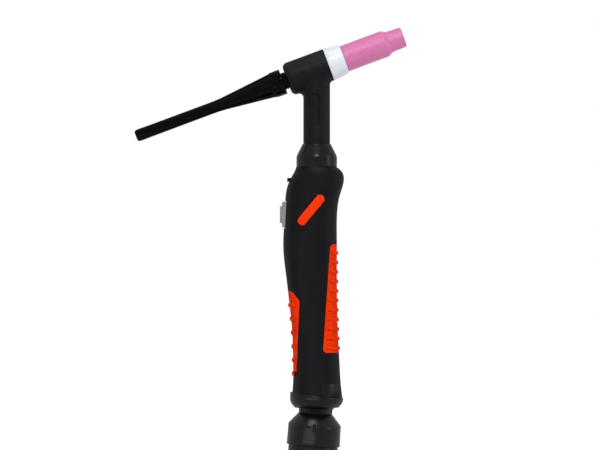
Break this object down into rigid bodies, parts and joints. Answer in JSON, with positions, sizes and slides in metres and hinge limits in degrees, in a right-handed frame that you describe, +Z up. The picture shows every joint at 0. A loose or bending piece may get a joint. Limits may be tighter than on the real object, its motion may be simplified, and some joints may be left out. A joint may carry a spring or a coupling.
{
  "type": "tig torch",
  "caption": "Handheld TIG welding torch with angled head, long back cap, ceramic nozzle, push trigger, padded grip and a swivelling hose knuckle.",
  "frame": {"origin": "the middle of the grip, on the axis that the grip shares with the neck", "axes": "+Z up along the grip to the head, +X the side the nozzle points to, +Y away from the side with the badge"},
  "size_m": [0.1723, 0.0338, 0.2795],
  "materials": {
    "brass": "machined brass",
    "head_rubber": "matt moulded rubber",
    "insulator": "smooth white insulator",
    "nozzle": "fired ceramic, satin",
    "copper": "copper, machined",
    "electrode": "ground tungsten",
    "cap": "polished phenolic",
    "seal": "smooth rubber",
    "tube": "drawn copper tube",
    "collar": "satin moulded plastic",
    "shell": "fine textured moulding",
    "steel": "zinc plated",
    "pad": "soft orange rubber",
    "badge": "orange inlay, satin",
    "housing": "fine textured moulding",
    "button": "light grey plastic",
    "switch": "moulded case",
    "knuckle": "smooth slippery plastic"
  },
  "bodies": {
    "root": {"torch_body": "brass", "head_rubber": "head_rubber", "front_insulator": "insulator", "collet_body": "copper", "collet": "copper", "gas_tube": "tube", "water_supply_tube": "tube", "power_return_tube": "tube", "gas_hose_tail": "brass", "water_hose_tail": "brass", "power_hose_tail": "brass", "neck_collar": "collar", "handle_shell_left": "shell", "handle_shell_right": "shell", "shell_screws": "steel", "grip_pad_front": "pad", "grip_pad_rear": "pad", "badge": "badge", "switch_housing": "housing", "switch_case": "switch", "lever_pin": "steel", "switch_terminals": "brass", "switch_pins": "steel", "end_ring": "shell"},
    "nozzle": {"nozzle": "nozzle"},
    "cap_carriage": {"cap_seal": "seal"},
    "back_cap": {"back_cap": "cap"},
    "electrode": {"electrode": "electrode"},
    "trigger": {"trigger_button": "button", "trigger_spring": "steel"},
    "switch_lever": {"switch_lever": "steel"},
    "switch_plunger": {"switch_plunger": "button"},
    "ball_seat": {"ball_seat": "knuckle"},
    "knuckle": {"knuckle_ball": "knuckle"},
    "swivel": {"swivel_collar": "collar", "latch_tongue": "switch", "sleeve_ferrule": "collar"}
  },
  "joints": [
    {"name": "nozzle_pull", "type": "slide", "parent": "root", "child": "nozzle", "axis": [0.9373, 0, 0.3486], "range_m": [0, 0.05]},
    {"name": "back_cap_screw", "type": "hinge", "parent": "cap_carriage", "child": "back_cap", "pos_m": [-0.02812, 0, 0.13064], "axis": [-0.9373, 0, -0.3486], "range_deg": [0, 2160]},
    {"name": "back_cap_travel", "type": "slide", "parent": "root", "child": "cap_carriage", "axis": [-0.9373, 0, -0.3486], "range_m": [0, 0.00751]},
    {"name": "electrode_slide", "type": "slide", "parent": "root", "child": "electrode", "axis": [0.9373, 0, 0.3486], "range_m": [-0.0015, 0.008]},
    {"name": "trigger_press", "type": "slide", "parent": "root", "child": "trigger", "axis": [1, 0, 0], "range_m": [0, 0.0013], "stiffness_N_per_m": 1500, "springref_m": -0.0006, "deforming": ["trigger_spring"]},
    {"name": "lever_tilt", "type": "hinge", "parent": "root", "child": "switch_lever", "pos_m": [-0.0133, 0, 0.058], "axis": [0, 1, 0], "range_deg": [-6.28, 0]},
    {"name": "plunger_press", "type": "slide", "parent": "root", "child": "switch_plunger", "axis": [1, 0, 0], "range_m": [0, 0.0005427]},
    {"name": "seat_turn", "type": "hinge", "parent": "root", "child": "ball_seat", "pos_m": [0, 0, -0.0652], "axis": [0, 0, 1], "continuous": true},
    {"name": "knuckle_tilt", "type": "hinge", "parent": "ball_seat", "child": "knuckle", "pos_m": [0, 0, -0.0652], "axis": [0, 1, 0], "range_deg": [-18, 10]},
    {"name": "collar_swivel", "type": "hinge", "parent": "knuckle", "child": "swivel", "pos_m": [-0.00223, 0, -0.09702], "axis": [0.0698, 0, 0.9976], "continuous": true}
  ],
  "couplings": [
    {"joint": "back_cap_travel", "follows": "back_cap_screw", "m_per_rad": 0.00019894},
    {"joint": "lever_tilt", "follows": "trigger_press", "rad_per_m": -83.01},
    {"joint": "plunger_press", "follows": "trigger_press", "ratio": 0.41667}
  ]
}
